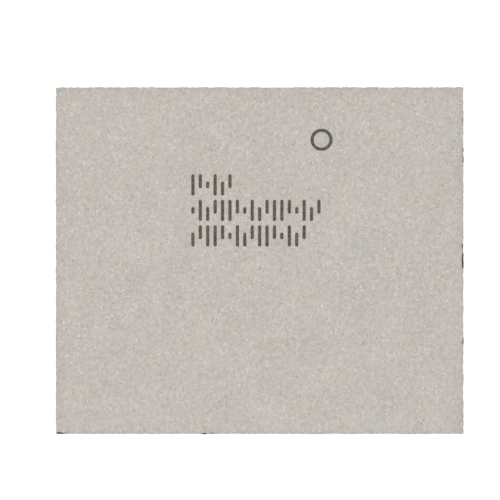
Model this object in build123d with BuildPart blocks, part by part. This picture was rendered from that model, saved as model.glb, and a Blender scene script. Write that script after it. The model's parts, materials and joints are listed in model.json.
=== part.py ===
from build123d import *
import os

# A wireless module: chips and passives on a small laminate, moulded over, with a metal
# shield coat over the top and the cut sides, and solder-coated lands below.
# Millimetres. Origin at the middle of the seating plane, +Z up to the marked face,
# +X along the long side. Lands and parts are placed as seen from above.

# Package outline
package_width = 11.2
package_length = 9.53

# Layers, from the seating plane upwards
solder_height = 0.05
copper_thickness = 0.015
mask_thickness = 0.03
laminate_thickness = 0.27
mould_cover = 0.21
coat_thickness = 0.025
coat_edge_radius = 0.02

# Lands round the edge of the underside
land_pitch = 0.5
land_width = 0.26
land_length = 0.6
corner_margin = 0.6
top_row_margin = 0.475
bottom_row_margin = 0.29
column_margin = 0.28
column_end_clearance = 0.5
mask_clearance = 0.035
solder_edge_radius = 0.03
ring_width = 0.165

# Ground lands in the middle of the underside
ground_side = 0.7
ground_corner_radius = 0.08
ground_pitch = 1.1
ground_clearance = 0.9

# Laser marks in the top of the shield coat
mark_depth = 0.01
mark_stroke = 0.08
mark_pitch = 0.2035
mark_height = 0.575
mark_row_pitch = 0.7
mark_left = -1.87
mark_top = 2.37
mark_row_counts = (6, 18, 16)
ring_mark_diameter = 0.6
ring_mark_x = 1.7
ring_mark_y = 3.32

# Radio die, flipped onto its bumps, with underfill between them
die_width = 4.4
die_length = 4.0
die_height = 0.3
underfill_height = 0.065
bump_diameter = 0.2
bump_pitch = 0.6
bump_edge = 0.2

# Front-end modules, band filters and diplexers: size along X, size along Y, height
front_end_5g_size = (1.9, 1.7, 0.45)
front_end_2g_size = (1.7, 1.5, 0.45)
band_filter_size = (1.1, 1.4, 0.5)
diplexer_size = (0.8, 1.6, 0.55)
module_pad_side = 0.2
module_pad_inset = 0.1

# Reference crystal: a ceramic tray with a metal lid and a quartz blank inside
crystal_width = 1.6
crystal_length = 1.2
tray_height = 0.3
tray_wall = 0.18
tray_floor = 0.1
lid_height = 0.06
blank_clearance = 0.08
blank_height = 0.04
adhesive_height = 0.03
adhesive_side = 0.16

# Chips with a metal cap at each end: length, width, height, length of a cap
power_inductor_size = (2.0, 1.2, 0.6, 0.45)
bulk_capacitor_size = (1.0, 0.5, 0.5, 0.25)
small_capacitor_size = (0.6, 0.3, 0.3, 0.15)
matching_inductor_size = (0.6, 0.3, 0.3, 0.15)
resistor_size = (0.6, 0.3, 0.23, 0.15)
capacitor_pitch = 0.6
resistor_pitch = 0.9
matching_pitch = 0.95

# Heights of the layers
land_bottom = solder_height
laminate_bottom = land_bottom + copper_thickness
lower_mask_bottom = laminate_bottom - mask_thickness
laminate_top = laminate_bottom + laminate_thickness
pad_top = laminate_top + copper_thickness
seat = laminate_top + mask_thickness
die_bottom = seat + underfill_height
crystal_height = tray_height + lid_height
tallest_part = max(
    power_inductor_size[2],
    bulk_capacitor_size[2],
    small_capacitor_size[2],
    matching_inductor_size[2],
    resistor_size[2],
    front_end_5g_size[2],
    front_end_2g_size[2],
    band_filter_size[2],
    diplexer_size[2],
    crystal_height,
    underfill_height + die_height,
)
mould_top = seat + tallest_part + mould_cover
package_top = mould_top + coat_thickness

# The moulded and cut body inside the coat
body_width = package_width - 2 * coat_thickness
body_length = package_length - 2 * coat_thickness


def copies_in(room, size, pitch):
    """How many things of one size fit in a row of this pitch."""
    return int((room - size) / pitch + 0.001) + 1


def spaced(sizes, room):
    """Middles of things of these sizes, set in a row with equal gaps."""
    gap = (room - sum(sizes)) / (len(sizes) + 1)
    start = -room / 2
    middles = []
    for size in sizes:
        start += gap
        middles.append(start + size / 2)
        start += size
    return middles


def save(part, name):
    part.label = name
    export_step(part, f"parts/{name}.step")


os.makedirs("parts", exist_ok=True)

# Places of the lands
row_count = copies_in(package_width - 2 * corner_margin, 0, land_pitch)
top_row_y = package_length / 2 - top_row_margin - land_length / 2
bottom_row_y = -package_length / 2 + bottom_row_margin + land_length / 2
column_x = package_width / 2 - column_margin - land_length / 2
rows_apart = top_row_y - bottom_row_y - land_length
pattern_y = (top_row_y + bottom_row_y) / 2
column_count = copies_in(rows_apart - 2 * column_end_clearance, 0, land_pitch)
ground_room_x = 2 * column_x - land_length - 2 * ground_clearance
ground_room_y = rows_apart - 2 * ground_clearance
ground_columns = copies_in(ground_room_x, ground_side, ground_pitch)
ground_rows = copies_in(ground_room_y, ground_side, ground_pitch)

row_grid = GridLocations(land_pitch, 0, row_count, 1)
column_grid = GridLocations(0, land_pitch, 1, column_count)
ground_grid = GridLocations(ground_pitch, ground_pitch, ground_columns, ground_rows)

# Groups of lands: middle of the group, its grid, turn of each land
land_groups = {
    "top_row": ((0, top_row_y), row_grid, 90),
    "bottom_row": ((0, bottom_row_y), row_grid, 90),
    "left_column": ((-column_x, pattern_y), column_grid, 0),
    "right_column": ((column_x, pattern_y), column_grid, 0),
    "centre_ground": ((0, pattern_y), ground_grid, 0),
}


def land_places(group):
    middle, grid, turn = land_groups[group]
    return [Location(middle) * place * Location((0, 0, 0), (0, 0, turn)) for place in grid]


def draw_land(group, margin=0, mode=Mode.ADD):
    """Outline of one land, grown by the margin."""
    if group == "centre_ground":
        side = ground_side + 2 * margin
        RectangleRounded(side, side, ground_corner_radius + margin, mode=mode)
    else:
        SlotOverall(land_length + 2 * margin, land_width + 2 * margin, mode=mode)


# Copper lands, and the domed solder on them
for group in land_groups:
    with BuildPart() as lands:
        with BuildSketch(Plane.XY.offset(land_bottom)):
            with Locations(*land_places(group)):
                draw_land(group)
        extrude(amount=copper_thickness)
    save(lands.part, f"{group}_lands")

    with BuildPart() as dome:
        with BuildSketch():
            draw_land(group)
        extrude(amount=solder_height)
        fillet(dome.edges().group_by(Axis.Z)[0], solder_edge_radius)
    with BuildPart() as solder:
        with Locations(*land_places(group)):
            add(dome.part)
    save(solder.part, f"{group}_solder")

# Copper ring under the mask, which grounds the shield coat at the cut edge
ring_inner_width = body_width - 2 * ring_width
ring_inner_length = body_length - 2 * ring_width
with BuildPart() as edge_ground_ring:
    with BuildSketch(Plane.XY.offset(land_bottom)):
        Rectangle(body_width, body_length)
        Rectangle(ring_inner_width, ring_inner_length, mode=Mode.SUBTRACT)
    extrude(amount=copper_thickness)
save(edge_ground_ring.part, "edge_ground_ring")

# Green mask below: open round each land, and thin along the edge, where the ring is
with BuildPart() as lower_solder_mask:
    with BuildSketch(Plane.XY.offset(lower_mask_bottom)):
        Rectangle(body_width, body_length)
        for group in land_groups:
            with Locations(*land_places(group)):
                draw_land(group, mask_clearance, Mode.SUBTRACT)
    extrude(amount=mask_thickness)
    with BuildSketch(Plane.XY.offset(land_bottom)):
        Rectangle(body_width, body_length)
        Rectangle(ring_inner_width, ring_inner_length, mode=Mode.SUBTRACT)
    extrude(amount=copper_thickness, mode=Mode.SUBTRACT)
save(lower_solder_mask.part, "lower_solder_mask")

with BuildPart() as laminate:
    with BuildSketch(Plane.XY.offset(laminate_bottom)):
        Rectangle(body_width, body_length)
    extrude(amount=laminate_thickness)
save(laminate.part, "laminate")

# Floor plan: four columns of parts, from left to right, with equal gaps between them
power_x, die_x, front_end_x, filter_x = spaced(
    (power_inductor_size[1], die_width, front_end_5g_size[0], band_filter_size[0]),
    body_width,
)

# Power column, from the front edge: an inductor, three capacitors, an inductor
power_inductor_1_y, *bulk_capacitor_ys, power_inductor_2_y = spaced(
    (power_inductor_size[0], *[bulk_capacitor_size[1]] * 3, power_inductor_size[0]),
    body_length,
)

# Die column: resistors, capacitors, the die, capacitors, then the crystal's row
resistor_y, capacitors_below_y, die_y, capacitors_above_y, crystal_y = spaced(
    (
        resistor_size[0],
        small_capacitor_size[0],
        die_length,
        small_capacitor_size[0],
        crystal_length,
    ),
    body_length,
)
crystal_x = die_x - (die_width - crystal_width) / 2
crystal_row_room = die_width - crystal_width - capacitor_pitch
crystal_row_x = die_x + (die_width - crystal_row_room) / 2

# Front-end column and filter column: modules, with matching inductors between them
inductor_width = matching_inductor_size[1]
outer_y, inner_y = front_end_2g_size[1], front_end_5g_size[1]
front_end_ys = spaced(
    (outer_y, inductor_width, inner_y, inductor_width, inner_y, inductor_width, outer_y),
    body_length,
)
outer_y, inner_y = diplexer_size[1], band_filter_size[1]
filter_ys = spaced(
    (outer_y, inductor_width, inner_y, inductor_width, inner_y, inductor_width, outer_y),
    body_length,
)

# Modules: place and size of each
modules = {
    "front_end_2g_a": ((front_end_x, front_end_ys[0]), front_end_2g_size),
    "front_end_5g_a": ((front_end_x, front_end_ys[2]), front_end_5g_size),
    "front_end_5g_b": ((front_end_x, front_end_ys[4]), front_end_5g_size),
    "front_end_2g_b": ((front_end_x, front_end_ys[6]), front_end_2g_size),
    "diplexer_a": ((filter_x, filter_ys[0]), diplexer_size),
    "band_filter_a": ((filter_x, filter_ys[2]), band_filter_size),
    "band_filter_b": ((filter_x, filter_ys[4]), band_filter_size),
    "diplexer_b": ((filter_x, filter_ys[6]), diplexer_size),
}
crystal_place = (crystal_x, crystal_y)
crystal_size = (crystal_width, crystal_length, crystal_height)


def row_of(x, y, room, size, pitch, turn):
    """Places of chips in a row along X, as many as the room holds."""
    count = copies_in(room, size, pitch)
    first = x - (count - 1) * pitch / 2
    return [Location((first + pitch * i, y), (0, 0, turn)) for i in range(count)]


def upright_row(x, y, room, size, pitch):
    """A row of chips that each stand along Y."""
    return row_of(x, y, room, size[1], pitch, 90)


power_inductor_places = [
    Location((power_x, y), (0, 0, 90)) for y in (power_inductor_1_y, power_inductor_2_y)
]
bulk_capacitor_places = [Location((power_x, y)) for y in bulk_capacitor_ys]
small_capacitor_places = (
    upright_row(die_x, capacitors_below_y, die_width, small_capacitor_size, capacitor_pitch)
    + upright_row(die_x, capacitors_above_y, die_width, small_capacitor_size, capacitor_pitch)
    + upright_row(
        crystal_row_x, crystal_y, crystal_row_room, small_capacitor_size, capacitor_pitch
    )
)
resistor_places = upright_row(die_x, resistor_y, die_width, resistor_size, resistor_pitch)
matching_inductor_places = [Location((filter_x, y)) for y in filter_ys[1::2]]
for y in front_end_ys[1::2]:
    matching_inductor_places += row_of(
        front_end_x, y, front_end_5g_size[0], matching_inductor_size[0], matching_pitch, 0
    )

# Chips: the places of each kind, and its size
chips = {
    "power_inductor": (power_inductor_places, power_inductor_size),
    "bulk_capacitor": (bulk_capacitor_places, bulk_capacitor_size),
    "small_capacitor": (small_capacitor_places, small_capacitor_size),
    "matching_inductor": (matching_inductor_places, matching_inductor_size),
    "resistor": (resistor_places, resistor_size),
}


def draw_chip_ends(places, size):
    length, width, _, cap_length = size
    for place in places:
        for side in (-1, 1):
            with Locations(place * Location((side * (length - cap_length) / 2, 0))):
                Rectangle(cap_length, width)


def draw_module_pads(place, size):
    """Four pads under a module, one near each corner."""
    inset = 2 * module_pad_inset + module_pad_side
    with Locations(place):
        with GridLocations(size[0] - inset, size[1] - inset, 2, 2):
            Rectangle(module_pad_side, module_pad_side)


def draw_bumps():
    columns = copies_in(die_width - 2 * bump_edge, bump_diameter, bump_pitch)
    rows = copies_in(die_length - 2 * bump_edge, bump_diameter, bump_pitch)
    with Locations((die_x, die_y)):
        with GridLocations(bump_pitch, bump_pitch, columns, rows):
            Circle(bump_diameter / 2)


with BuildSketch() as bump_outlines:
    draw_bumps()
with BuildSketch() as joint_outlines:
    for places, size in chips.values():
        draw_chip_ends(places, size)
    for place, size in (*modules.values(), (crystal_place, crystal_size)):
        draw_module_pads(place, size)

# Copper pads on the laminate, and the mask that is open over each of them
with BuildPart() as upper_pads:
    with BuildSketch(Plane.XY.offset(laminate_top)):
        add(joint_outlines.sketch)
        add(bump_outlines.sketch)
    extrude(amount=copper_thickness)
save(upper_pads.part, "upper_pads")

with BuildPart() as upper_solder_mask:
    with BuildSketch(Plane.XY.offset(laminate_top)):
        Rectangle(body_width, body_length)
        add(joint_outlines.sketch, mode=Mode.SUBTRACT)
        add(bump_outlines.sketch, mode=Mode.SUBTRACT)
    extrude(amount=mask_thickness)
save(upper_solder_mask.part, "upper_solder_mask")

# Solder from the pads up to the parts
with BuildPart() as solder_joints:
    with BuildSketch(Plane.XY.offset(pad_top)):
        add(joint_outlines.sketch)
    extrude(amount=seat - pad_top)
save(solder_joints.part, "solder_joints")

with BuildPart() as radio_die_bumps:
    with BuildSketch(Plane.XY.offset(pad_top)):
        add(bump_outlines.sketch)
    extrude(amount=die_bottom - pad_top)
save(radio_die_bumps.part, "radio_die_bumps")

with BuildPart() as radio_die_underfill:
    with BuildSketch(Plane.XY.offset(seat)):
        with Locations((die_x, die_y)):
            Rectangle(die_width, die_length)
        add(bump_outlines.sketch, mode=Mode.SUBTRACT)
    extrude(amount=underfill_height)
save(radio_die_underfill.part, "radio_die_underfill")

with BuildPart() as radio_die:
    with BuildSketch(Plane.XY.offset(die_bottom)):
        with Locations((die_x, die_y)):
            Rectangle(die_width, die_length)
    extrude(amount=die_height)
save(radio_die.part, "radio_die")

for name, (place, (width, length, height)) in modules.items():
    with BuildPart() as module:
        with BuildSketch(Plane.XY.offset(seat)):
            with Locations(place):
                Rectangle(width, length)
        extrude(amount=height)
    save(module.part, name)

# Chips: cores, and a metal cap at each end of each core
for kind, (places, size) in chips.items():
    length, width, height, cap_length = size
    with BuildPart() as cores:
        with BuildSketch(Plane.XY.offset(seat)):
            with Locations(*places):
                Rectangle(length - 2 * cap_length, width)
        extrude(amount=height)
    save(cores.part, f"{kind}s")
    with BuildPart() as caps:
        with BuildSketch(Plane.XY.offset(seat)):
            draw_chip_ends(places, size)
        extrude(amount=height)
    save(caps.part, f"{kind}_terminals")

# Reference crystal: a tray, a lid and, between them, a blank glued at one end only
cavity_width = crystal_width - 2 * tray_wall
cavity_length = crystal_length - 2 * tray_wall
blank_width = cavity_width - 2 * blank_clearance
blank_length = cavity_length - 2 * blank_clearance
cavity_floor = seat + tray_floor

with BuildPart() as crystal_tray:
    with BuildSketch(Plane.XY.offset(seat)):
        with Locations(crystal_place):
            Rectangle(crystal_width, crystal_length)
    extrude(amount=tray_height)
    with BuildSketch(Plane.XY.offset(cavity_floor)):
        with Locations(crystal_place):
            Rectangle(cavity_width, cavity_length)
    extrude(amount=tray_height - tray_floor, mode=Mode.SUBTRACT)
save(crystal_tray.part, "crystal_tray")

with BuildPart() as crystal_lid:
    with BuildSketch(Plane.XY.offset(seat + tray_height)):
        with Locations(crystal_place):
            Rectangle(crystal_width, crystal_length)
    extrude(amount=lid_height)
save(crystal_lid.part, "crystal_lid")

with BuildPart() as crystal_adhesive:
    with BuildSketch(Plane.XY.offset(cavity_floor)):
        with Locations((crystal_x - (blank_width - adhesive_side) / 2, crystal_y)):
            with GridLocations(0, blank_length - adhesive_side, 1, 2):
                Rectangle(adhesive_side, adhesive_side)
    extrude(amount=adhesive_height)
save(crystal_adhesive.part, "crystal_adhesive")

with BuildPart() as crystal_blank:
    with BuildSketch(Plane.XY.offset(cavity_floor + adhesive_height)):
        with Locations(crystal_place):
            Rectangle(blank_width, blank_length)
    extrude(amount=blank_height)
save(crystal_blank.part, "crystal_blank")

# Epoxy mould, from the upper mask to the coat, with a pocket over each part
pockets = [((die_x, die_y), (die_width, die_length, underfill_height + die_height))]
pockets += [*modules.values(), (crystal_place, crystal_size)]
with BuildPart() as mould_body:
    with BuildSketch(Plane.XY.offset(seat)):
        Rectangle(body_width, body_length)
    extrude(amount=mould_top - seat)
    for place, (width, length, height) in pockets:
        with BuildSketch(Plane.XY.offset(seat)):
            with Locations(place):
                Rectangle(width, length)
        extrude(amount=height, mode=Mode.SUBTRACT)
    for places, (length, width, height, _) in chips.values():
        with BuildSketch(Plane.XY.offset(seat)):
            with Locations(*places):
                Rectangle(length, width)
        extrude(amount=height, mode=Mode.SUBTRACT)
save(mould_body.part, "mould_body")

# Strokes of the marks: share of the row's height, and share that is bare below
strokes = ((1, 0), (0.65, 0.35), (0.3, 0.35), (1, 0), (0.65, 0), (0.65, 0.35), (1, 0))

# Shield coat, down to the lower face of the mask on all four sides
coat_height = package_top - lower_mask_bottom
with BuildPart() as shield_coat:
    with BuildSketch(Plane.XY.offset(lower_mask_bottom)):
        Rectangle(package_width, package_length)
    extrude(amount=coat_height)
    outer_edges = shield_coat.edges().filter_by(Axis.Z) + shield_coat.edges().group_by(Axis.Z)[-1]
    fillet(outer_edges, coat_edge_radius)
    with BuildSketch(Plane.XY.offset(lower_mask_bottom)):
        Rectangle(body_width, body_length)
    extrude(amount=mould_top - lower_mask_bottom, mode=Mode.SUBTRACT)
    with BuildSketch(Plane.XY.offset(package_top)):
        for row, count in enumerate(mark_row_counts):
            row_bottom = mark_top - mark_height - row * mark_row_pitch
            for i in range(count):
                share, bare = strokes[(i + 2 * row) % len(strokes)]
                x = mark_left + mark_stroke / 2 + i * mark_pitch
                with Locations((x, row_bottom + (bare + share / 2) * mark_height)):
                    Rectangle(mark_stroke, share * mark_height)
        with Locations((ring_mark_x, ring_mark_y)):
            Circle(ring_mark_diameter / 2)
            Circle(ring_mark_diameter / 2 - mark_stroke, mode=Mode.SUBTRACT)
    extrude(amount=-mark_depth, mode=Mode.SUBTRACT)
save(shield_coat.part, "shield_coat")
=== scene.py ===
import json
import math
import random

import bmesh
import bpy
from mathutils import Matrix, Vector, noise


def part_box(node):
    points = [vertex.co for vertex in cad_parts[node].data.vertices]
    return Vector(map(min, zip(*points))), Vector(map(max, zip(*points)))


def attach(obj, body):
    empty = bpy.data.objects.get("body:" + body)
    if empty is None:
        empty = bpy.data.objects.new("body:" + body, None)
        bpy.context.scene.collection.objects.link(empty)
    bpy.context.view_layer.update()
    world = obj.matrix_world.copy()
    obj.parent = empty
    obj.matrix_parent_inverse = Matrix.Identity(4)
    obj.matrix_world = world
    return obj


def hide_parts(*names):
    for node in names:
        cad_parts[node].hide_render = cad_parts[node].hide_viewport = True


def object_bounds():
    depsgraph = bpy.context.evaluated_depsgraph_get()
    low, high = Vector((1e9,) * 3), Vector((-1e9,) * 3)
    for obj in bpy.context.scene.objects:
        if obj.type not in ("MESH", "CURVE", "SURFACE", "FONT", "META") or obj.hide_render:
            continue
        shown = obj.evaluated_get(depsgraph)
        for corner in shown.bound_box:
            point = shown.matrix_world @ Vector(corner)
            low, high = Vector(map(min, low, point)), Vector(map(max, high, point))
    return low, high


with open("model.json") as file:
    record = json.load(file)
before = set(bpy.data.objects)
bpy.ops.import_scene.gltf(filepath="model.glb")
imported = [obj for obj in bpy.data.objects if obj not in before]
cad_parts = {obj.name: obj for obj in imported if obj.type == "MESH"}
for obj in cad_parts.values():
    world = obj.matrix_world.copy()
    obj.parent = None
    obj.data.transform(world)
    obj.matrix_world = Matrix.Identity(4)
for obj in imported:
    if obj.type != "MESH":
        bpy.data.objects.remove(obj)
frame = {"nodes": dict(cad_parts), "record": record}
cad_box = [list(corner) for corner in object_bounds()]

MM = 0.001

# The photograph: its side in pixels, and where the package's outline lies in it
PHOTO_SIDE_PX = 500
OUTLINE_LEFT_PX = 55.5
OUTLINE_RIGHT_PX = 463.7
OUTLINE_TOP_PX = 86.8
OUTLINE_BOTTOM_PX = 434.7

COAT_LOW, COAT_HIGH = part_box("shield_coat")
BODY_LOW, BODY_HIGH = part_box("laminate")
MASK_LOW, MASK_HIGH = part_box("lower_solder_mask")
COAT_MIDDLE = (COAT_LOW + COAT_HIGH) / 2
COAT_SIZE = COAT_HIGH - COAT_LOW
COAT_THICKNESS = BODY_LOW.x - COAT_LOW.x

# Points nearer to each other than this are the same point
SAME_POINT = 1e-8


# Shapes

def deselect():
    bpy.ops.object.select_all(action="DESELECT")


def activate(piece):
    deselect()
    piece.select_set(True)
    bpy.context.view_layer.objects.active = piece


def apply_modifier(piece, kind, **settings):
    """Adds one modifier with these settings and applies it."""
    activate(piece)
    modifier = piece.modifiers.new(kind.lower(), kind)
    for name, value in settings.items():
        setattr(modifier, name, value)
    bpy.ops.object.modifier_apply(modifier=modifier.name)


def place_in_mesh(piece):
    activate(piece)
    bpy.ops.object.transform_apply(location=True, rotation=True, scale=True)


def smooth(piece, degrees):
    activate(piece)
    bpy.ops.object.shade_smooth_by_angle(angle=math.radians(degrees))


def wander(x, y, z, pitch, seed):
    """Smooth noise from -1 to 1 that changes over about one pitch."""
    return noise.noise(Vector((x / pitch + seed, y / pitch - seed, z / pitch + 2 * seed)))


def box_of(points):
    """Lowest and highest corner of the box round some points."""
    low = Vector([min(p[k] for p in points) for k in range(3)])
    high = Vector([max(p[k] for p in points) for k in range(3)])
    return low, high


def cad_mesh(node):
    """A copy of a node's mesh to measure, in world coordinates."""
    mesh = bmesh.new()
    mesh.from_mesh(frame["nodes"][node].data)
    mesh.transform(frame["nodes"][node].matrix_world)
    return mesh


def boxes_of_pieces(node):
    """The box of each separate solid in a node, from left to right."""
    mesh = cad_mesh(node)
    bmesh.ops.remove_doubles(mesh, verts=mesh.verts, dist=SAME_POINT)
    left = set(mesh.verts)
    boxes = []
    while left:
        found = [left.pop()]
        points = []
        while found:
            vertex = found.pop()
            points.append(vertex.co.copy())
            for edge in vertex.link_edges:
                other = edge.other_vert(vertex)
                if other in left:
                    left.remove(other)
                    found.append(other)
        boxes.append(box_of(points))
    mesh.free()
    return sorted(boxes, key=lambda b: (round(b[0].x / MM, 3), round(b[0].y / MM, 3)))


# Shield coat

EDGE_RADIUS = 0.02 * MM
EDGE_STEPS = 3
TOP_CELL = 0.06 * MM
SIDE_ROWS = 12
SMOOTH_COAT = 40

# The top's uneven surface. Each noise is given by the size of its lumps and its seed
TOP_RELIEF = 0.0015 * MM
TOP_SINK = 0.8
TOP_SWING = 0.5
TOP_FINE = (0.16 * MM, 3)
TOP_BROAD = (0.9 * MM, 5)
TOP_BROAD_SHARE = 0.6

# Level saw lines on the sides: their noise is drawn out along the side
SAW_RELIEF = 0.004 * MM
SAW_NOISE = (0.05 * MM, 7)
SAW_STRETCH = 0.06

# Burrs: upright ridges on the sides, from a noise drawn out in height, and deepest
# within the reach of the upper edge
BURR_RELIEF = 0.018 * MM
BURR_SINK = 0.006 * MM
BURR_FINE = (0.085 * MM, 11)
BURR_FINE_SHARE = 1.9
BURR_BROAD = (0.25 * MM, 13)
BURR_BROAD_SHARE = 0.6
BURR_LEVEL = 0.4
BURR_STRETCH = 0.1
BURR_BELOW_EDGE = 0.75
EDGE_REACH = 4 * EDGE_RADIUS

# Nicks in the coat's upper edge, in millimetres: side, middle, half length and width
EDGE_NICKS = (
    ("front", -5.6, 0.42, 0.07),
    ("front", -1.52, 0.08, 0.05),
    ("front", -1.27, 0.13, 0.048),
    ("right", 0.02, 0.31, 0.064),
    ("right", 0.4, 0.1, 0.06),
    ("right", 3.86, 0.07, 0.046),
    ("right", 2.85, 0.34, 0.034),
    ("right", -2.21, 0.09, 0.046),
)
NICK_DEPTH = 0.012 * MM


def make_coat_skin():
    """The outer face of the coat: a fine grid on top, rolled over the edge and down."""
    flat = [COAT_SIZE.x - 2 * EDGE_RADIUS, COAT_SIZE.y - 2 * EDGE_RADIUS]
    bpy.ops.mesh.primitive_grid_add(
        x_subdivisions=round(flat[0] / TOP_CELL),
        y_subdivisions=round(flat[1] / TOP_CELL),
        size=1,
        location=(COAT_MIDDLE.x, COAT_MIDDLE.y, COAT_HIGH.z),
    )
    skin = bpy.context.object
    skin.name = "shield_skin"
    skin.scale = (flat[0], flat[1], 1)
    place_in_mesh(skin)
    bpy.ops.object.mode_set(mode="EDIT")
    bpy.ops.mesh.select_mode(type="EDGE")
    bpy.ops.mesh.select_all(action="DESELECT")
    mesh = bmesh.from_edit_mesh(skin.data)
    for edge in mesh.edges:
        edge.select_set(edge.is_boundary)
    bmesh.update_edit_mesh(skin.data)
    out, down = 0, 0
    for step in range(1, EDGE_STEPS + 1):
        turn = math.radians(90 * step / EDGE_STEPS)
        next_out = EDGE_RADIUS * math.sin(turn)
        next_down = EDGE_RADIUS * (1 - math.cos(turn))
        bpy.ops.mesh.extrude_region_move(
            TRANSFORM_OT_translate={"value": (0, 0, down - next_down)}
        )
        bpy.ops.transform.resize(
            value=(
                (flat[0] + 2 * next_out) / (flat[0] + 2 * out),
                (flat[1] + 2 * next_out) / (flat[1] + 2 * out),
                1,
            ),
            center_override=COAT_MIDDLE,
        )
        out, down = next_out, next_down
    row = (COAT_SIZE.z - EDGE_RADIUS) / SIDE_ROWS
    for _ in range(SIDE_ROWS):
        bpy.ops.mesh.extrude_region_move(TRANSFORM_OT_translate={"value": (0, 0, -row)})
    bpy.ops.mesh.select_all(action="SELECT")
    bpy.ops.mesh.normals_make_consistent(inside=False)
    bpy.ops.object.mode_set(mode="OBJECT")
    return skin


def roughen_coat(skin):
    """Grain on top, saw lines and burrs on the cut sides, and nicks in the upper edge."""
    half = COAT_SIZE / 2
    for vertex in skin.data.vertices:
        p = vertex.co
        side_x = half.x - abs(p.x - COAT_MIDDLE.x)
        side_y = half.y - abs(p.y - COAT_MIDDLE.y)
        depth = COAT_HIGH.z - p.z
        inward = Vector((
            -math.copysign(1, p.x - COAT_MIDDLE.x) if side_x < EDGE_RADIUS else 0,
            -math.copysign(1, p.y - COAT_MIDDLE.y) if side_y < EDGE_RADIUS else 0,
            0,
        ))
        if inward.length == 0:
            relief = wander(p.x, p.y, 0, *TOP_FINE)
            relief += TOP_BROAD_SHARE * wander(p.x, p.y, 0, *TOP_BROAD)
            p.z -= TOP_RELIEF * (TOP_SINK + TOP_SWING * relief)
            continue
        along = p.x if inward.x == 0 else p.y
        saw = 0.5 + 0.5 * wander(along * SAW_STRETCH, 0, p.z, *SAW_NOISE)
        edge_share = max(0, 1 - depth / EDGE_REACH)
        burr = BURR_FINE_SHARE * wander(p.x, p.y, BURR_STRETCH * p.z, *BURR_FINE)
        burr += BURR_BROAD_SHARE * wander(p.x, p.y, BURR_STRETCH * p.z, *BURR_BROAD)
        burr = min(1, max(0, BURR_LEVEL + burr))
        burr_share = BURR_BELOW_EDGE + (1 - BURR_BELOW_EDGE) * edge_share
        p += inward * (SAW_RELIEF * saw + BURR_RELIEF * burr * burr_share)
        p.z -= BURR_SINK * burr * edge_share
        for side, middle, half_length, _ in EDGE_NICKS:
            on_side = inward.y > 0 if side == "front" else inward.x < 0
            reach = abs(along - middle * MM) / (half_length * MM)
            if on_side and reach < 1:
                p.z -= NICK_DEPTH * edge_share * (1 - reach)


# Laser marks: plain strokes and a ring, in the places that the coat's pockets have

MARK_DEPTH = 0.01 * MM
DOT_PITCH = 0.052 * MM
DOT_SWELL = 0.13
POCKET_SLICE = 0.5 * MARK_DEPTH
CAP_ANGLES = (30, 60, 90, 120, 150)

# Grooves get narrower downwards. Half their width above the coat, at the slice and at the
# floor: for a stroke as a share of its radius, for the ring as a share of its line's width
STROKE_SHARES = (1.5, 1.2, 0.95)
RING_SHARES = (0.75, 0.6, 0.48)

# A pocket wider than this is the ring
RING_LEAST_WIDTH = 0.3 * MM
RING_STROKE = 0.08 * MM
RING_POINTS = 96
RING_DOTS = 32

# Faces of the coat lower than this, near the marks, are burnt
BURNT_DEPTH = 2.5 * TOP_RELIEF


def mark_strokes():
    """Boxes of the strokes and of the ring, read from the pockets in the coat."""
    mesh = cad_mesh("shield_coat")
    mesh.normal_update()
    floor_z = COAT_HIGH.z - MARK_DEPTH
    floors = [
        f for f in mesh.faces
        if f.normal.z > 0.9 and abs(f.calc_center_median().z - floor_z) < MARK_DEPTH / 10
    ]
    islands = []
    for face in floors:
        points = [v.co.copy() for v in face.verts]
        touching = [
            group for group in islands
            if any((a - b).length < SAME_POINT for a in group for b in points)
        ]
        for group in touching:
            points += group
            islands.remove(group)
        islands.append(points)
    mesh.free()
    return [box_of(points) for points in islands]


def add_prism(mesh, rings):
    """A closed prism between matching rings of points, from top to bottom."""
    loops = [[mesh.verts.new(p) for p in ring] for ring in rings]
    mesh.faces.new(loops[0])
    mesh.faces.new(list(reversed(loops[-1])))
    for upper, lower in zip(loops, loops[1:]):
        for i in range(len(upper)):
            j = (i + 1) % len(upper)
            mesh.faces.new((upper[j], upper[i], lower[i], lower[j]))


def stroke_outline(low, high, z, swell):
    """A stroke burnt dot by dot: scalloped sides and round ends, counter-clockwise."""
    radius = (high.x - low.x) / 2
    middle = (low.x + high.x) / 2
    bottom = low.y + radius
    top = high.y - radius
    steps = max(2, round((top - bottom) / DOT_PITCH) * 4)
    right = []
    for i in range(steps + 1):
        y = bottom + (top - bottom) * i / steps
        wave = 1 - DOT_SWELL * (1 - abs(math.cos(math.pi * (y - bottom) / DOT_PITCH)))
        right.append((radius * wave * swell, y))
    reach = radius * swell
    turns = [math.radians(angle) for angle in CAP_ANGLES]
    cap = [(reach * math.cos(turn), reach * math.sin(turn)) for turn in turns]
    points = [(middle + x, y) for x, y in right]
    points += [(middle + x, top + y) for x, y in cap]
    points += [(middle - x, y) for x, y in reversed(right)]
    points += [(middle - x, bottom - y) for x, y in cap]
    return [Vector((x, y, z)) for x, y in points]


def add_ring_cutter(mesh, low, high, heights):
    """A ring burnt dot by dot, as a closed band with sloping sides."""
    middle = (low + high) / 2
    centre_line = (high.x - low.x - RING_STROKE) / 2
    outer = list(zip(RING_SHARES, heights))
    inner = [(-share, z) for share, z in reversed(outer)]
    walls = []
    for share, z in outer + inner:
        ring = []
        for i in range(RING_POINTS):
            turn = 2 * math.pi * i / RING_POINTS
            swell = 1 - DOT_SWELL * (0.5 - 0.5 * math.cos(RING_DOTS * turn))
            reach = centre_line + share * RING_STROKE * swell
            ring.append(mesh.verts.new((
                middle.x + reach * math.cos(turn), middle.y + reach * math.sin(turn), z
            )))
        walls.append(ring)
    for a, b in zip(walls, walls[1:] + walls[:1]):
        for i in range(RING_POINTS):
            j = (i + 1) % RING_POINTS
            mesh.faces.new((a[i], b[i], b[j], a[j]))


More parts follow.
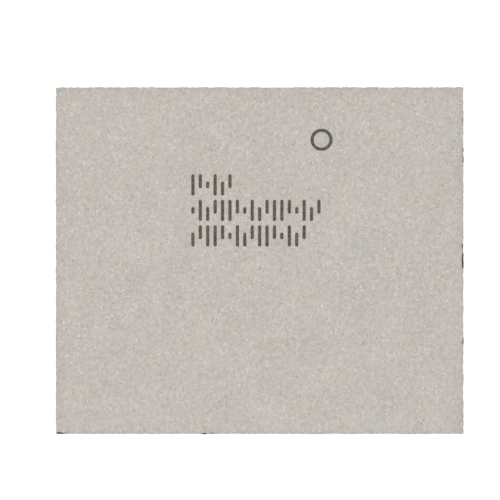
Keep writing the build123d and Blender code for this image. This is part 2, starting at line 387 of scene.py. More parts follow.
def make_mark_cutter(strokes):
    """One object with the shapes that are cut out of the coat."""
    mesh = bmesh.new()
    heights = (COAT_HIGH.z + MARK_DEPTH, COAT_HIGH.z - POCKET_SLICE, COAT_HIGH.z - MARK_DEPTH)
    for low, high in strokes:
        if high.x - low.x > RING_LEAST_WIDTH:
            add_ring_cutter(mesh, low, high, heights)
        else:
            add_prism(mesh, [
                stroke_outline(low, high, z, share) for z, share in zip(heights, STROKE_SHARES)
            ])
    data = bpy.data.meshes.new("mark_cutter")
    mesh.to_mesh(data)
    mesh.free()
    cutter = bpy.data.objects.new("mark_cutter", data)
    bpy.context.collection.objects.link(cutter)
    return cutter


def make_coat():
    """The whole coat, in place of its CAD node, with the burnt metal in its marks."""
    skin = make_coat_skin()
    roughen_coat(skin)
    apply_modifier(skin, "SOLIDIFY", thickness=COAT_THICKNESS, offset=-1)
    strokes = mark_strokes()
    cutter = make_mark_cutter(strokes)
    apply_modifier(skin, "BOOLEAN", operation="DIFFERENCE", object=cutter, solver="EXACT")
    bpy.data.objects.remove(cutter)
    smooth(skin, SMOOTH_COAT)
    skin.data.materials.clear()
    skin.data.materials.append(shield_material())
    skin.data.materials.append(mark_material())
    burnt_top = COAT_HIGH.z - BURNT_DEPTH
    burnt_bottom = COAT_HIGH.z - COAT_THICKNESS / 2
    low, high = box_of([corner for box in strokes for corner in box])
    for face in skin.data.polygons:
        c = face.center
        inside = low.x - RING_STROKE < c.x < high.x + RING_STROKE
        inside = inside and low.y - RING_STROKE < c.y < high.y + RING_STROKE
        face.material_index = 1 if inside and burnt_bottom < c.z < burnt_top else 0
    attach(skin, "root")
    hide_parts("shield_coat")


# Solder on the lands

CORNER_STEPS = 4
RIM_STEPS = 4
RIM_RADIUS = 0.032 * MM
RIM_WIDTH = 0.055 * MM
SMOOTH_SOLDER = 60

# Insets of the flat foot's inner rings, from the rim's inner end
FOOT_INSETS = (0.03 * MM, 0.065 * MM)

# Corner radius as a share of a land's width: round ends, and nearly square lands
ROUND_ENDS = 0.49
SQUARE_LAND = 0.11

# How much one land's solder may differ from the next: its outline wobbles inwards, and
# its foot sinks by shares of its height, a little more on one side, in soft lumps
SEED_RANGE = 50
LUMP_SEED_STEP = 9
WOBBLE = 0.015 * MM
WOBBLE_LEVEL = 0.35
WOBBLE_PITCH = 0.12 * MM
LUMP_PITCH = 0.1 * MM
MOST_SINK = 0.25
MOST_LEAN = 0.1
DEEPEST = 0.35


def draw_in(piece_size, inset, next_inset, down):
    """Extrudes the selected face down and in, from one inset to the next."""
    bpy.ops.mesh.extrude_region_move(TRANSFORM_OT_translate={"value": (0, 0, -down)})
    bpy.ops.transform.resize(
        value=(
            (piece_size.x - 2 * next_inset) / (piece_size.x - 2 * inset),
            (piece_size.y - 2 * next_inset) / (piece_size.y - 2 * inset),
            1,
        ),
        center_override=(0, 0, 0),
    )


def make_dome(size, corner):
    """One land's solder: a rounded outline drawn down and in to a flat foot."""
    bpy.ops.mesh.primitive_plane_add(size=1, location=(0, 0, size.z))
    dome = bpy.context.object
    dome.scale = (size.x, size.y, 1)
    place_in_mesh(dome)
    bpy.ops.object.mode_set(mode="EDIT")
    bpy.ops.mesh.select_all(action="SELECT")
    bpy.ops.mesh.bevel(offset=corner, segments=CORNER_STEPS, affect="VERTICES")
    bpy.ops.mesh.select_mode(type="FACE")
    bpy.ops.mesh.select_all(action="SELECT")
    draw_in(size, 0, 0, size.z - RIM_RADIUS)
    inset, down = 0, 0
    for step in range(1, RIM_STEPS + 1):
        turn = math.radians(90 * step / RIM_STEPS)
        next_inset = RIM_RADIUS * (1 - math.cos(turn))
        next_down = RIM_RADIUS * math.sin(turn)
        draw_in(size, inset, next_inset, next_down - down)
        inset, down = next_inset, next_down
    for next_inset in [inset + further for further in FOOT_INSETS]:
        draw_in(size, inset, next_inset, 0)
        inset = next_inset
    bpy.ops.mesh.select_all(action="SELECT")
    bpy.ops.mesh.normals_make_consistent(inside=False)
    bpy.ops.object.mode_set(mode="OBJECT")
    return dome


def mark_rim(dome, size, corner):
    """Writes how near each point is to the land's outline: 1 on the rim, 0 well inside."""
    rim = dome.data.attributes.new("rim", "FLOAT", "POINT")
    core = Vector((size.x / 2 - corner, size.y / 2 - corner))
    for vertex, value in zip(dome.data.vertices, rim.data):
        past = Vector((max(0, abs(vertex.co.x) - core.x), max(0, abs(vertex.co.y) - core.y)))
        inset = corner - past.length
        value.value = max(0, min(1, 1 - (inset - RIM_RADIUS) / (RIM_WIDTH - RIM_RADIUS)))


def make_solder(group, corner_share):
    """All the solder of one group of lands, each land a little different."""
    node = f"{group}_solder"
    boxes = boxes_of_pieces(node)
    size = boxes[0][1] - boxes[0][0]
    corner = corner_share * min(size.x, size.y)
    dome = make_dome(size, corner)
    mark_rim(dome, size, corner)
    rng = random.Random(len(boxes) + round(size.x / MM * 100))
    copies = []
    for low, high in boxes:
        middle = (low + high) / 2
        copy = dome.copy()
        copy.data = dome.data.copy()
        bpy.context.collection.objects.link(copy)
        seed = rng.uniform(0, SEED_RANGE)
        sink = rng.uniform(0, MOST_SINK)
        lean = (rng.uniform(-MOST_LEAN, MOST_LEAN), rng.uniform(-MOST_LEAN, MOST_LEAN))
        for vertex in copy.data.vertices:
            p = vertex.co
            free = 1 - p.z / size.z
            flat = Vector((p.x, p.y, 0))
            rim = wander(p.x, p.y, 0, WOBBLE_PITCH, seed)
            p -= flat.normalized() * WOBBLE * max(0, WOBBLE_LEVEL + rim) * free
            lump = 0.5 + 0.5 * wander(p.x, p.y, 0, LUMP_PITCH, seed + LUMP_SEED_STEP)
            lump += lean[0] * p.x / size.x + lean[1] * p.y / size.y
            p.z += size.z * free * min(DEEPEST, max(0, sink * lump))
        copy.data.transform(Matrix.Translation((middle.x, middle.y, low.z)))
        copies.append(copy)
    bpy.data.objects.remove(dome)
    deselect()
    for copy in copies:
        copy.select_set(True)
    bpy.context.view_layer.objects.active = copies[0]
    bpy.ops.object.join()
    solder = bpy.context.object
    solder.name = f"{group}_tinning"
    smooth(solder, SMOOTH_SOLDER)
    solder.data.materials.clear()
    solder.data.materials.append(land_solder_material())
    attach(solder, "root")
    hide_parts(node)


# Materials

def once(make):
    """Builds a material or a node group the first time it is asked for."""
    made = []

    def get():
        if not made:
            made.append(make())
        return made[0]

    return get


def linear(red, green, blue):
    """A colour read from the photograph, 0 to 255 a channel, as shader values."""
    def channel(value):
        share = value / 255
        return share / 12.92 if share <= 0.04045 else ((share + 0.055) / 1.055) ** 2.4
    return (channel(red), channel(green), channel(blue), 1)


def set_inputs(tree, node, values):
    """Gives a node's inputs fixed values, or links where a value is a socket."""
    for key, value in values.items():
        if isinstance(value, bpy.types.NodeSocket):
            tree.links.new(value, node.inputs[key])
        else:
            node.inputs[key].default_value = value


def add_node(tree, kind, inputs, **settings):
    """A node with its settings and its inputs."""
    node = tree.nodes.new(kind)
    for name, value in settings.items():
        setattr(node, name, value)
    set_inputs(tree, node, inputs)
    return node


def math_node(tree, operation, a, b=0.0):
    return add_node(tree, "ShaderNodeMath", {0: a, 1: b}, operation=operation).outputs[0]


def vector_math(tree, operation, vector, other):
    """Vector math. The second input is a vector, or the factor for SCALE."""
    key = "Scale" if operation == "SCALE" else 1
    inputs = {0: vector, key: other}
    return add_node(tree, "ShaderNodeVectorMath", inputs, operation=operation).outputs[0]


def split_axes(tree, at):
    """The three coordinates of a point, under X, Y and Z."""
    return add_node(tree, "ShaderNodeSeparateXYZ", {0: at}).outputs


def mix_colours(tree, share, first, second):
    inputs = {0: share, 6: first, 7: second}
    return add_node(
        tree, "ShaderNodeMix", inputs, data_type="RGBA", clamp_factor=True
    ).outputs[2]


def remap(tree, value, low, high, to_low=0.0, to_high=1.0):
    node = add_node(
        tree,
        "ShaderNodeMapRange",
        {"Value": value, 1: low, 2: high, 3: to_low, 4: to_high},
        clamp=True,
    )
    return node.outputs[0]


def shifted(tree, vector, distance):
    """The same coordinates moved along X, so that a second pattern differs."""
    return vector_math(tree, "ADD", vector, (distance, 0, 0))


def distance_to_edge(tree, at, low, high):
    """How far a point is inside the nearest of a box's four sides."""
    axes = split_axes(tree, at)
    reaches = []
    for axis, first, last in (("X", low.x, high.x), ("Y", low.y, high.y)):
        offset = math_node(tree, "SUBTRACT", axes[axis], (first + last) / 2)
        reach = math_node(tree, "ABSOLUTE", offset)
        reaches.append(math_node(tree, "SUBTRACT", (last - first) / 2, reach))
    return math_node(tree, "MINIMUM", reaches[0], reaches[1])


def noise_value(tree, vector, size, detail, roughness, lift=0.0):
    """Noise from about 0.25 to 0.75. Size is that of its lumps, in metres, and lift is a
    distance in millimetres that keeps one noise from being like another."""
    node = add_node(
        tree,
        "ShaderNodeTexNoise",
        {"Scale": 1 / size, "Detail": detail, "Roughness": roughness},
        noise_dimensions="3D",
    )
    tree.links.new(shifted(tree, vector, lift * MM), node.inputs["Vector"])
    return node.outputs[0]


def start_group(name, inputs, outputs):
    """A new node group. Out: its tree, the sockets it is given, and its end node."""
    tree = bpy.data.node_groups.new(name, "ShaderNodeTree")
    for socket in inputs:
        kind = "NodeSocketVector" if socket == "Vector" else "NodeSocketFloat"
        tree.interface.new_socket(socket, in_out="INPUT", socket_type=kind)
    for socket in outputs:
        tree.interface.new_socket(socket, in_out="OUTPUT", socket_type="NodeSocketFloat")
    given = tree.nodes.new("NodeGroupInput").outputs
    return tree, given, tree.nodes.new("NodeGroupOutput")


@once
def grain_group():
    """Speckle in three sizes. Out: a shade round 1, and a height."""
    tree, given, end = start_group(
        "grain", ("Vector", "Fine", "Middle", "Coarse"), ("Shade", "Height")
    )
    vector = given["Vector"]
    fine = noise_value(tree, vector, 0.055 * MM, 1.5, 0.6)
    middle = noise_value(tree, vector, 0.13 * MM, 2.0, 0.6, 3.1)
    coarse = noise_value(tree, vector, 0.9 * MM, 3.0, 0.6, 7.7)
    total = 1.0
    for value, key in ((fine, "Fine"), (middle, "Middle"), (coarse, "Coarse")):
        centred = math_node(tree, "SUBTRACT", value, 0.5)
        total = math_node(
            tree, "ADD", total, math_node(tree, "MULTIPLY", centred, given[key])
        )
    height = math_node(tree, "ADD", fine, math_node(tree, "MULTIPLY", middle, 1.5))
    set_inputs(tree, end, {"Shade": total, "Height": height})
    return tree


# The net of specks is bent by a noise of this size, up to this far, so that it doesn't
# look like a net. The smallest speck and a speck's solid core are shares of the radius
NET_BEND_SIZE = 0.06 * MM
NET_BEND = 0.11 * MM
LEAST_SPECK = 0.55
SPECK_CORE = 0.35


@once
def specks_group():
    """Small round specks, in some cells of a random net. Out: a mask from 0 to 1."""
    tree, given, end = start_group("specks", ("Vector", "Density", "Share", "Radius"), ("Mask",))
    bend = add_node(
        tree,
        "ShaderNodeTexNoise",
        {"Vector": given["Vector"], "Scale": 1 / NET_BEND_SIZE, "Detail": 1.0},
    )
    bend = vector_math(tree, "SUBTRACT", bend.outputs["Color"], (0.5, 0.5, 0.5))
    bend = vector_math(tree, "SCALE", bend, NET_BEND)
    net = add_node(
        tree,
        "ShaderNodeTexVoronoi",
        {"Vector": vector_math(tree, "ADD", given["Vector"], bend), "Scale": given["Density"]},
        voronoi_dimensions="3D",
        feature="F1",
    )
    pick = add_node(tree, "ShaderNodeSeparateColor", {0: net.outputs["Color"]}).outputs
    chosen = math_node(tree, "LESS_THAN", pick[0], given["Share"])
    size = remap(tree, pick[1], 0, 1, LEAST_SPECK, 1.0)
    reach = math_node(tree, "MULTIPLY", given["Radius"], size)
    near = math_node(tree, "DIVIDE", net.outputs["Distance"], reach)
    spot = remap(tree, near, 1.0, SPECK_CORE)
    set_inputs(tree, end, {"Mask": math_node(tree, "MULTIPLY", chosen, spot)})
    return tree


YARN_SCALE = 1 / (2.4 * MM)


@once
def weave_group():
    """Glass cloth under resin. Out: a height, high on the yarns."""
    tree, given, end = start_group("glass cloth", ("Vector",), ("Height",))
    yarns = []
    for direction in ("X", "Y"):
        wave = add_node(
            tree,
            "ShaderNodeTexWave",
            {
                "Vector": given["Vector"],
                "Scale": YARN_SCALE,
                "Distortion": 0.6,
                "Detail": 1.0,
                "Detail Scale": 2.0,
            },
            wave_type="BANDS",
            bands_direction=direction,
        )
        yarns.append(wave.outputs["Fac"])
    set_inputs(tree, end, {"Height": math_node(tree, "MULTIPLY", *yarns)})
    return tree


@once
def nick_group():
    """A chip in an edge, as a half ellipse. Out: a mask from 0 to 1."""
    tree, given, end = start_group(
        "edge nick", ("Along", "Inset", "Middle", "Half", "Width"), ("Mask",)
    )
    along = math_node(tree, "SUBTRACT", given["Along"], given["Middle"])
    along = math_node(tree, "DIVIDE", along, given["Half"])
    inward = math_node(tree, "DIVIDE", given["Inset"], given["Width"])
    reach = math_node(
        tree,
        "ADD",
        math_node(tree, "MULTIPLY", along, along),
        math_node(tree, "MULTIPLY", inward, inward),
    )
    set_inputs(tree, end, {"Mask": remap(tree, reach, 1.0, 0.6)})
    return tree


def use_group(tree, group, **inputs):
    """One use of a node group with these inputs. Out: its outputs."""
    node = tree.nodes.new("ShaderNodeGroup")
    node.node_tree = group
    set_inputs(tree, node, inputs)
    return node.outputs


def start_material(name):
    """A new material. Out: its tree, its surface shader, and the object's coordinates."""
    material = bpy.data.materials.new(name)
    material.use_nodes = True
    tree = material.node_tree
    surface = tree.nodes["Principled BSDF"]
    coordinates = tree.nodes.new("ShaderNodeTexCoord").outputs["Object"]
    return material, tree, surface, coordinates


def set_bump(tree, surface, height, distance):
    inputs = {"Height": height, "Distance": distance, "Strength": 1.0}
    bump = add_node(tree, "ShaderNodeBump", inputs)
    tree.links.new(bump.outputs[0], surface.inputs["Normal"])


def shade_colour(tree, colour, shade):
    if not isinstance(colour, bpy.types.NodeSocket):
        colour = colour[:3]
    return vector_math(tree, "SCALE", colour, shade)


# The noise of the saw lines' shade is drawn out along the sides
SAW_SHADE_STRETCH = (0.04, 0.04, 1.0)
SAW_SHADE_SIZE = 0.03 * MM

# Half width of the dark line where mould meets laminate: where it starts to fade, and ends
SEAM_LINE = (0.004 * MM, 0.014 * MM)
SEAM_HEIGHT = BODY_HIGH.z + MASK_HIGH.z - MASK_LOW.z


def saw_shade(tree, at, side):
    """Shade of the cut sides: level saw lines, and a line where mould meets laminate."""
    stretched = vector_math(tree, "MULTIPLY", at, SAW_SHADE_STRETCH)
    lines = noise_value(tree, stretched, SAW_SHADE_SIZE, 2.0, 0.6, 6.2)
    lines = remap(tree, lines, 0.3, 0.7, 0.9, 1.07)
    from_seam = math_node(tree, "SUBTRACT", split_axes(tree, at)["Z"], SEAM_HEIGHT)
    seam = remap(tree, math_node(tree, "ABSOLUTE", from_seam), *SEAM_LINE, 0.82, 1.0)
    lines = math_node(tree, "MULTIPLY", lines, seam)
    inputs = {0: side, 2: 1.0, 3: lines}
    return add_node(tree, "ShaderNodeMix", inputs, data_type="FLOAT").outputs[0]


# How far the outline of a nick wanders in and out, and the heights that nicks fade between
NICK_RAGGED = (-0.008 * MM, 0.012 * MM)
NICK_FADE = (COAT_HIGH.z - 2.5 * EDGE_RADIUS, COAT_HIGH.z - 1.5 * EDGE_RADIUS)


def nicks_mask(tree, at):
    """Where the coat's upper edge is painted dark, at its nicks."""
    axes = split_axes(tree, at)
    ragged = noise_value(tree, at, 0.06 * MM, 2.0, 0.6, 3.7)
    ragged = remap(tree, ragged, 0.3, 0.7, *NICK_RAGGED)
    front = math_node(tree, "SUBTRACT", axes["Y"], COAT_LOW.y)
    right = math_node(tree, "SUBTRACT", COAT_HIGH.x, axes["X"])
    sides = {
        "front": (axes["X"], math_node(tree, "ADD", front, ragged)),
        "right": (axes["Y"], math_node(tree, "ADD", right, ragged)),
    }
    mask = 0.0
    for side, middle, half_length, width in EDGE_NICKS:
        along, inset = sides[side]
        nick = use_group(
            tree,
            nick_group(),
            Along=along,
            Inset=inset,
            Middle=middle * MM,
            Half=half_length * MM,
            Width=width * MM,
        )
        mask = math_node(tree, "MAXIMUM", mask, nick["Mask"])
    return math_node(tree, "MULTIPLY", mask, remap(tree, axes["Z"], *NICK_FADE))


# Distances from the coat's outline between which the rim's cooler tone and slight painted shade,
# and the painted shade of a darker line along the cut edge, come in, and the heights between
# which the saw lines do
RIM_BAND = (0.32 * MM, 0.05 * MM)
CUT_SHADE_BAND = (0.1 * MM, 0.02 * MM)
SIDE_BAND = (COAT_HIGH.z - EDGE_RADIUS, COAT_HIGH.z - 2 * EDGE_RADIUS)

# The grain is drawn a little closer along X than along Y
GRAIN_STRETCH = (1.2, 0.95, 1.0)

# Specks: cell of their net, radius as a share of the cell, and the share of cells that
# have one where they crowd
LIGHT_SPECKS = (0.085 * MM, 0.5, 0.8)
DARK_SPECKS = (0.08 * MM, 0.46, 0.7)
FEWEST_SPECKS = 0.1


def specks(tree, at, crowd, cell, radius, most):
    """A mask of specks, with more of them where the crowd noise is high."""
    return use_group(
        tree,
        specks_group(),
        Vector=at,
        Density=1 / cell,
        Share=remap(tree, crowd, 0.4, 0.66, FEWEST_SPECKS, most),
        Radius=radius,
    )["Mask"]


@once
def shield_material():
    """Sprayed metal: soft cool and warm clouds, fine grain, and light and dark specks."""
    material, tree, surface, at = start_material("shield coat")
    cool = noise_value(tree, at, 0.9 * MM, 3.0, 0.6, 1.3)
    warm = noise_value(tree, at, 0.65 * MM, 3.0, 0.6, 5.9)
    edge = distance_to_edge(tree, at, COAT_LOW, COAT_HIGH)
    rim = remap(tree, edge, *RIM_BAND)
    cool = math_node(tree, "ADD", cool, math_node(tree, "MULTIPLY", rim, 0.08))
    tint = mix_colours(
        tree, remap(tree, cool, 0.5, 0.72), linear(197, 188, 182.5), linear(192, 189, 184)
    )
    tint = mix_colours(tree, remap(tree, warm, 0.54, 0.7), tint, linear(196, 188, 176.3))
    drawn = vector_math(tree, "MULTIPLY", at, GRAIN_STRETCH)
    grain = use_group(tree, grain_group(), Vector=drawn, Fine=0.42, Middle=0.42, Coarse=0.18)
    # Painted shade: the coat is darkened slightly over the rim band, and more in a line along
    # the cut edge
    cut = remap(tree, edge, *CUT_SHADE_BAND)
    shade = math_node(tree, "MULTIPLY", grain["Shade"], remap(tree, rim, 0, 1, 1, 0.97))
    shade = math_node(tree, "MULTIPLY", shade, remap(tree, cut, 0, 1, 1, 0.96))
    tint = shade_colour(tree, tint, shade)
    crowd = noise_value(tree, at, 0.42 * MM, 3.0, 0.65, 9.1)
    light = specks(tree, drawn, crowd, *LIGHT_SPECKS)
    tint = mix_colours(tree, light, tint, linear(215, 210, 202))
    dark = specks(tree, shifted(tree, drawn, 4.7 * MM), crowd, *DARK_SPECKS)
    tint = mix_colours(tree, dark, tint, linear(166, 159, 154))
    side = remap(tree, split_axes(tree, at)["Z"], *SIDE_BAND)
    tint = shade_colour(tree, tint, saw_shade(tree, at, side))
    # Dark patches painted along the coat's upper edge, at the nicks
    tint = mix_colours(tree, nicks_mask(tree, at), tint, linear(58, 55, 54))
    tree.links.new(tint, surface.inputs["Base Color"])
    surface.inputs["Metallic"].default_value = 0.55
    rough = math_node(tree, "SUBTRACT", 0.56, math_node(tree, "MULTIPLY", light, 0.12))
    tree.links.new(rough, surface.inputs["Roughness"])
    height = math_node(tree, "ADD", grain["Height"], light)
    height = math_node(tree, "SUBTRACT", height, dark)
    set_bump(tree, surface, height, 0.0015 * MM)
    return material


@once
def mark_material():
    """Burnt metal, lighter and softer towards the top of the groove."""
    material, tree, surface, at = start_material("laser mark")
    height = split_axes(tree, at)["Z"]
    shallow = remap(tree, height, COAT_HIGH.z - MARK_DEPTH, COAT_HIGH.z - 0.1 * MARK_DEPTH)
    dots = noise_value(tree, at, 0.05 * MM, 1.0, 0.5)
    burnt = mix_colours(
        tree, remap(tree, dots, 0.35, 0.65), linear(72, 64, 55), linear(116, 108, 97)
    )
    colour = mix_colours(tree, shallow, burnt, linear(172, 165, 156))
    tree.links.new(colour, surface.inputs["Base Color"])
    surface.inputs["Metallic"].default_value = 0.1
    surface.inputs["Roughness"].default_value = 0.75
    set_bump(tree, surface, dots, 0.003 * MM)
    return material


@once
def land_solder_material():
    """Painted highlight on the rims; rougher, pitted feet painted greyer, with mottled painted
    shade.
    """
    material, tree, surface, at = start_material("tinned land")
    rim = add_node(
        tree, "ShaderNodeAttribute", {}, attribute_name="rim", attribute_type="GEOMETRY"
    ).outputs["Fac"]
    broad = remap(tree, noise_value(tree, at, 0.16 * MM, 2.0, 0.6), 0.38, 0.62)
    fine = remap(tree, noise_value(tree, at, 0.045 * MM, 2.0, 0.7, 2.3), 0.36, 0.64)
    # Painted shade: the flat feet are painted a mottled grey, with small lighter painted glints
    foot = mix_colours(tree, broad, linear(176, 173, 161), linear(213, 211, 201))
    foot = mix_colours(tree, math_node(tree, "MULTIPLY", fine, 0.5), foot, linear(232, 230, 220))
    # Painted highlight: the rims, with a ragged inner edge, are painted near white
    ragged = math_node(tree, "ADD", rim, math_node(tree, "MULTIPLY", broad, 0.5))
    painted_highlight = remap(tree, ragged, 0.45, 0.95)
    colour = mix_colours(tree, painted_highlight, foot, linear(246, 245, 234))
    tree.links.new(colour, surface.inputs["Base Color"])
    surface.inputs["Metallic"].default_value = 1.0
    tree.links.new(remap(tree, painted_highlight, 0, 1, 0.45, 0.22), surface.inputs["Roughness"])
    set_bump(tree, surface, math_node(tree, "ADD", fine, broad), 0.006 * MM)
    return material


# How far the copper plane reaches past the middle lands, and how sharp its edge shows
PLANE_MARGIN = 0.3 * MM
PLANE_EDGE = (-0.01 * MM, 0.01 * MM)

# Distances from the ring's outline: where its lighter tone ends, where patches of copper
# get more frequent, and where the olive line of the cut ends
RING_END = (0.185 * MM, 0.145 * MM)
PATCH_BAND = (0.6 * MM, 0.1 * MM)
CUT_LINE = (0.1 * MM, 0.04 * MM)
CUT_LINE_WANDER = 0.08 * MM


def ground_plane_inset(tree, at):
    """How far a point is inside the copper plane round the middle lands."""
    low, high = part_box("centre_ground_solder")
    margin = Vector((PLANE_MARGIN, PLANE_MARGIN, 0))
    return distance_to_edge(tree, at, low - margin, high + margin)


@once
def green_mask_material():
    """Dark green, lighter over the copper ring, the copper plane and some patches."""
    material, tree, surface, at = start_material("green solder mask")
    distance = distance_to_edge(tree, at, *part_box("edge_ground_ring"))
    over_ring = remap(tree, distance, *RING_END)
    cloudy = remap(tree, noise_value(tree, at, 0.7 * MM, 3.0, 0.6), 0.35, 0.65)
    dark = mix_colours(tree, cloudy, linear(29, 66, 36), linear(37, 77, 46))
    over_plane = remap(tree, ground_plane_inset(tree, at), *PLANE_EDGE)
    patch = noise_value(tree, at, 0.8 * MM, 1.0, 0.4, 4.4)
    patch = math_node(tree, "ADD", patch, remap(tree, distance, *PATCH_BAND, 0, 0.1))
    patch = remap(tree, patch, 0.62, 0.66)
    copper = math_node(tree, "MAXIMUM", over_plane, patch)
    dark = mix_colours(tree, math_node(tree, "MULTIPLY", copper, 0.7), dark, linear(48, 86, 49))
    colour = mix_colours(tree, over_ring, dark, linear(57, 91, 56))
    rough_edge = noise_value(tree, at, 0.3 * MM, 3.0, 0.6, 8.8)
    rough_edge = math_node(tree, "MULTIPLY", rough_edge, CUT_LINE_WANDER)
    cut_edge = remap(tree, math_node(tree, "ADD", distance, rough_edge), *CUT_LINE)
    colour = mix_colours(tree, cut_edge, colour, linear(104, 98, 56))
    grain = use_group(tree, grain_group(), Vector=at, Fine=0.25, Middle=0.2, Coarse=0.0)
    colour = shade_colour(tree, colour, grain["Shade"])
    tree.links.new(colour, surface.inputs["Base Color"])
    surface.inputs["Roughness"].default_value = 0.36
    surface.inputs["Specular IOR Level"].default_value = 0.35
    cloth = use_group(tree, weave_group(), Vector=at)
    raised = math_node(tree, "MAXIMUM", over_ring, copper)
    height = math_node(tree, "ADD", cloth["Height"], math_node(tree, "MULTIPLY", raised, 1.5))
    set_bump(tree, surface, height, 0.006 * MM)
    return material


ROUGHNESS_SWING = 0.06


def plain_material(name, colour, metallic, roughness, size, depth, contrast):
    """A finish of one colour with its own grain, for a piece inside the package."""
    material, tree, surface, at = start_material(name)
    lumps = noise_value(tree, at, size, 3.0, 0.6)
    shade = remap(tree, lumps, 0.3, 0.7, 1 - contrast / 2, 1 + contrast / 2)
    tree.links.new(shade_colour(tree, colour, shade), surface.inputs["Base Color"])
    dull = roughness + ROUGHNESS_SWING
    glossy = roughness - ROUGHNESS_SWING
    tree.links.new(remap(tree, lumps, 0.3, 0.7, dull, glossy), surface.inputs["Roughness"])
    surface.inputs["Metallic"].default_value = metallic
    set_bump(tree, surface, lumps, depth)
    return material


# Finishes of the pieces that keep their own shape: colour, metallic, roughness, size of
# the grain, its depth and its contrast
FINISHES = {
    "mould": (linear(38, 38, 40), 0.0, 0.62, 0.05 * MM, 0.004 * MM, 0.4),
    "laminate": (linear(92, 88, 58), 0.0, 0.55, 0.09 * MM, 0.004 * MM, 0.4),
    "ring_copper": (linear(196, 128, 92), 1.0, 0.32, 0.08 * MM, 0.001 * MM, 0.2),
    "copper": (linear(196, 128, 92), 1.0, 0.3, 0.06 * MM, 0.001 * MM, 0.2),
    "solder": (linear(205, 205, 202), 1.0, 0.3, 0.05 * MM, 0.002 * MM, 0.2),
    "underfill": (linear(58, 48, 36), 0.0, 0.35, 0.08 * MM, 0.001 * MM, 0.3),
    "silicon": (linear(104, 106, 112), 0.4, 0.22, 0.4 * MM, 0.0003 * MM, 0.12),
    "white_ceramic": (linear(222, 220, 212), 0.0, 0.5, 0.04 * MM, 0.002 * MM, 0.12),
    "lid_metal": (linear(206, 198, 178), 1.0, 0.28, 0.1 * MM, 0.001 * MM, 0.15),
    "quartz": (linear(224, 228, 228), 0.0, 0.3, 0.1 * MM, 0.0005 * MM, 0.06),
    "adhesive": (linear(186, 186, 184), 0.6, 0.45, 0.04 * MM, 0.003 * MM, 0.2),
    "ferrite": (linear(74, 74, 76), 0.2, 0.55, 0.05 * MM, 0.003 * MM, 0.25),
    "capacitor_ceramic": (linear(158, 132, 104), 0.0, 0.48, 0.05 * MM, 0.001 * MM, 0.2),
    "resistor_black": (linear(34, 34, 36), 0.0, 0.28, 0.08 * MM, 0.001 * MM, 0.3),
    "terminal_tin": (linear(208, 208, 204), 1.0, 0.38, 0.06 * MM, 0.002 * MM, 0.15),
    "module_black": (linear(42, 42, 44), 0.0, 0.5, 0.05 * MM, 0.002 * MM, 0.3),
    "filter_grey": (linear(168, 168, 164), 0.1, 0.42, 0.06 * MM, 0.001 * MM, 0.15),
}


def dress_nodes():
    """Gives every piece that keeps its own shape the finish of its slot."""
    made = {"green_mask": green_mask_material()}
    for name, finish in FINISHES.items():
        made[name] = plain_material(name.replace("_", " "), *finish)
    for entry in frame["record"]["subparts"]:
        slot = entry["material_slot"]
        if slot in made:
            for material_slot in frame["nodes"][entry["node"]].material_slots:
                material_slot.material = made[slot]


make_coat()
for side in ("top_row", "bottom_row", "left_column", "right_column"):
    make_solder(side, ROUND_ENDS)
make_solder("centre_ground", SQUARE_LAND)
dress_nodes()


# Floor, light and camera

FLOOR_SIDE = 400 * MM
FLOOR_GAP = 0.001 * MM

# Enough glow to lift the package's faint shadow to white, as in the photograph
FLOOR_GLOW = 0.58


def make_floor():
    """A pale floor that shows from above only, and doesn't light the package."""
    bpy.ops.mesh.primitive_plane_add(
        size=FLOOR_SIDE, location=(COAT_MIDDLE.x, COAT_MIDDLE.y, cad_box[0][2] - FLOOR_GAP)
    )
    floor = bpy.context.object
    floor.name = "floor"
    place_in_mesh(floor)
    material, tree, surface, _ = start_material("pale floor")
    set_inputs(tree, surface, {
        "Base Color": (0.8, 0.8, 0.8, 1),
        "Roughness": 0.9,
        "Specular IOR Level": 0.0,
        "Emission Color": (1, 1, 1, 1),
        "Emission Strength": FLOOR_GLOW,
    })
    clear = tree.nodes.new("ShaderNodeBsdfTransparent")
    back = tree.nodes.new("ShaderNodeNewGeometry").outputs["Backfacing"]
    mix = add_node(
        tree, "ShaderNodeMixShader", {0: back, 1: surface.outputs[0], 2: clear.outputs[0]}
    )
    tree.links.new(mix.outputs[0], tree.nodes["Material Output"].inputs["Surface"])
    floor.data.materials.append(material)
    floor.visible_diffuse = False
    floor.visible_glossy = False
    floor.visible_transmission = False
    floor.visible_shadow = False


WORLD_LEVEL = 0.72


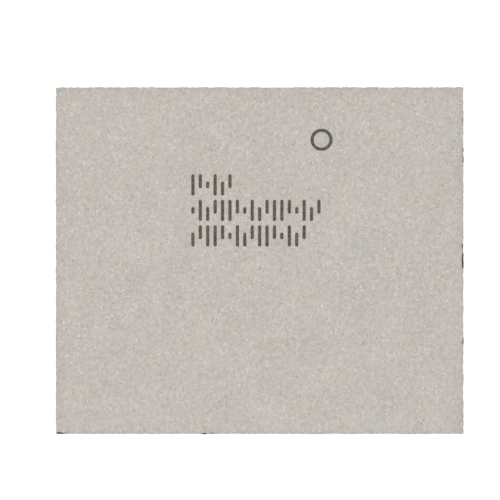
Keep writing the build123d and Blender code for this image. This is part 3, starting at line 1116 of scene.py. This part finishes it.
def make_world():
    """Even pale light, and a white background behind and in the gloss."""
    world = bpy.data.worlds.new("studio")
    world.use_nodes = True
    tree = world.node_tree
    background = tree.nodes["Background"]
    background.inputs["Color"].default_value = (1, 1, 1, 1)
    path = tree.nodes.new("ShaderNodeLightPath").outputs
    seen = math_node(tree, "MAXIMUM", path["Is Camera Ray"], path["Is Transmission Ray"])
    seen = math_node(tree, "MAXIMUM", seen, path["Is Glossy Ray"])
    strength = math_node(tree, "MULTIPLY", seen, 1 - WORLD_LEVEL)
    strength = math_node(tree, "ADD", strength, WORLD_LEVEL)
    tree.links.new(strength, background.inputs["Strength"])
    bpy.context.scene.world = world


LAMP_FROM = Vector((-0.5, -0.45, 1.0))
LAMP_STRENGTH = 0.53
LAMP_WIDTH = math.radians(50)


def make_lamp():
    """One wide, soft lamp, high up on the left and in front, as even as a distant softbox."""
    data = bpy.data.lights.new("soft_lamp", "SUN")
    data.energy = LAMP_STRENGTH
    data.angle = LAMP_WIDTH
    lamp = bpy.data.objects.new("soft_lamp", data)
    lamp.rotation_euler = LAMP_FROM.to_track_quat("Z", "Y").to_euler()
    bpy.context.collection.objects.link(lamp)


CAMERA_DISTANCE = 150 * MM
SENSOR = 36


def make_camera():
    """Straight above, far away, with the outline where the photograph has it."""
    pixel = COAT_SIZE.x / (OUTLINE_RIGHT_PX - OUTLINE_LEFT_PX)
    middle_x = (OUTLINE_LEFT_PX + OUTLINE_RIGHT_PX) / 2
    middle_y = (OUTLINE_TOP_PX + OUTLINE_BOTTOM_PX) / 2
    data = bpy.data.cameras.new("camera")
    data.sensor_width = SENSOR
    data.lens = SENSOR * CAMERA_DISTANCE / (PHOTO_SIDE_PX * pixel)
    data.clip_start = 1 * MM
    data.clip_end = 10
    camera = bpy.data.objects.new("camera", data)
    camera.location = (
        COAT_MIDDLE.x + (PHOTO_SIDE_PX / 2 - middle_x) * pixel,
        COAT_MIDDLE.y + (middle_y - PHOTO_SIDE_PX / 2) * pixel,
        COAT_HIGH.z + CAMERA_DISTANCE,
    )
    bpy.context.collection.objects.link(camera)
    bpy.context.scene.camera = camera


make_floor()
make_world()
make_lamp()
make_camera()
bpy.context.scene.view_settings.view_transform = "Standard"
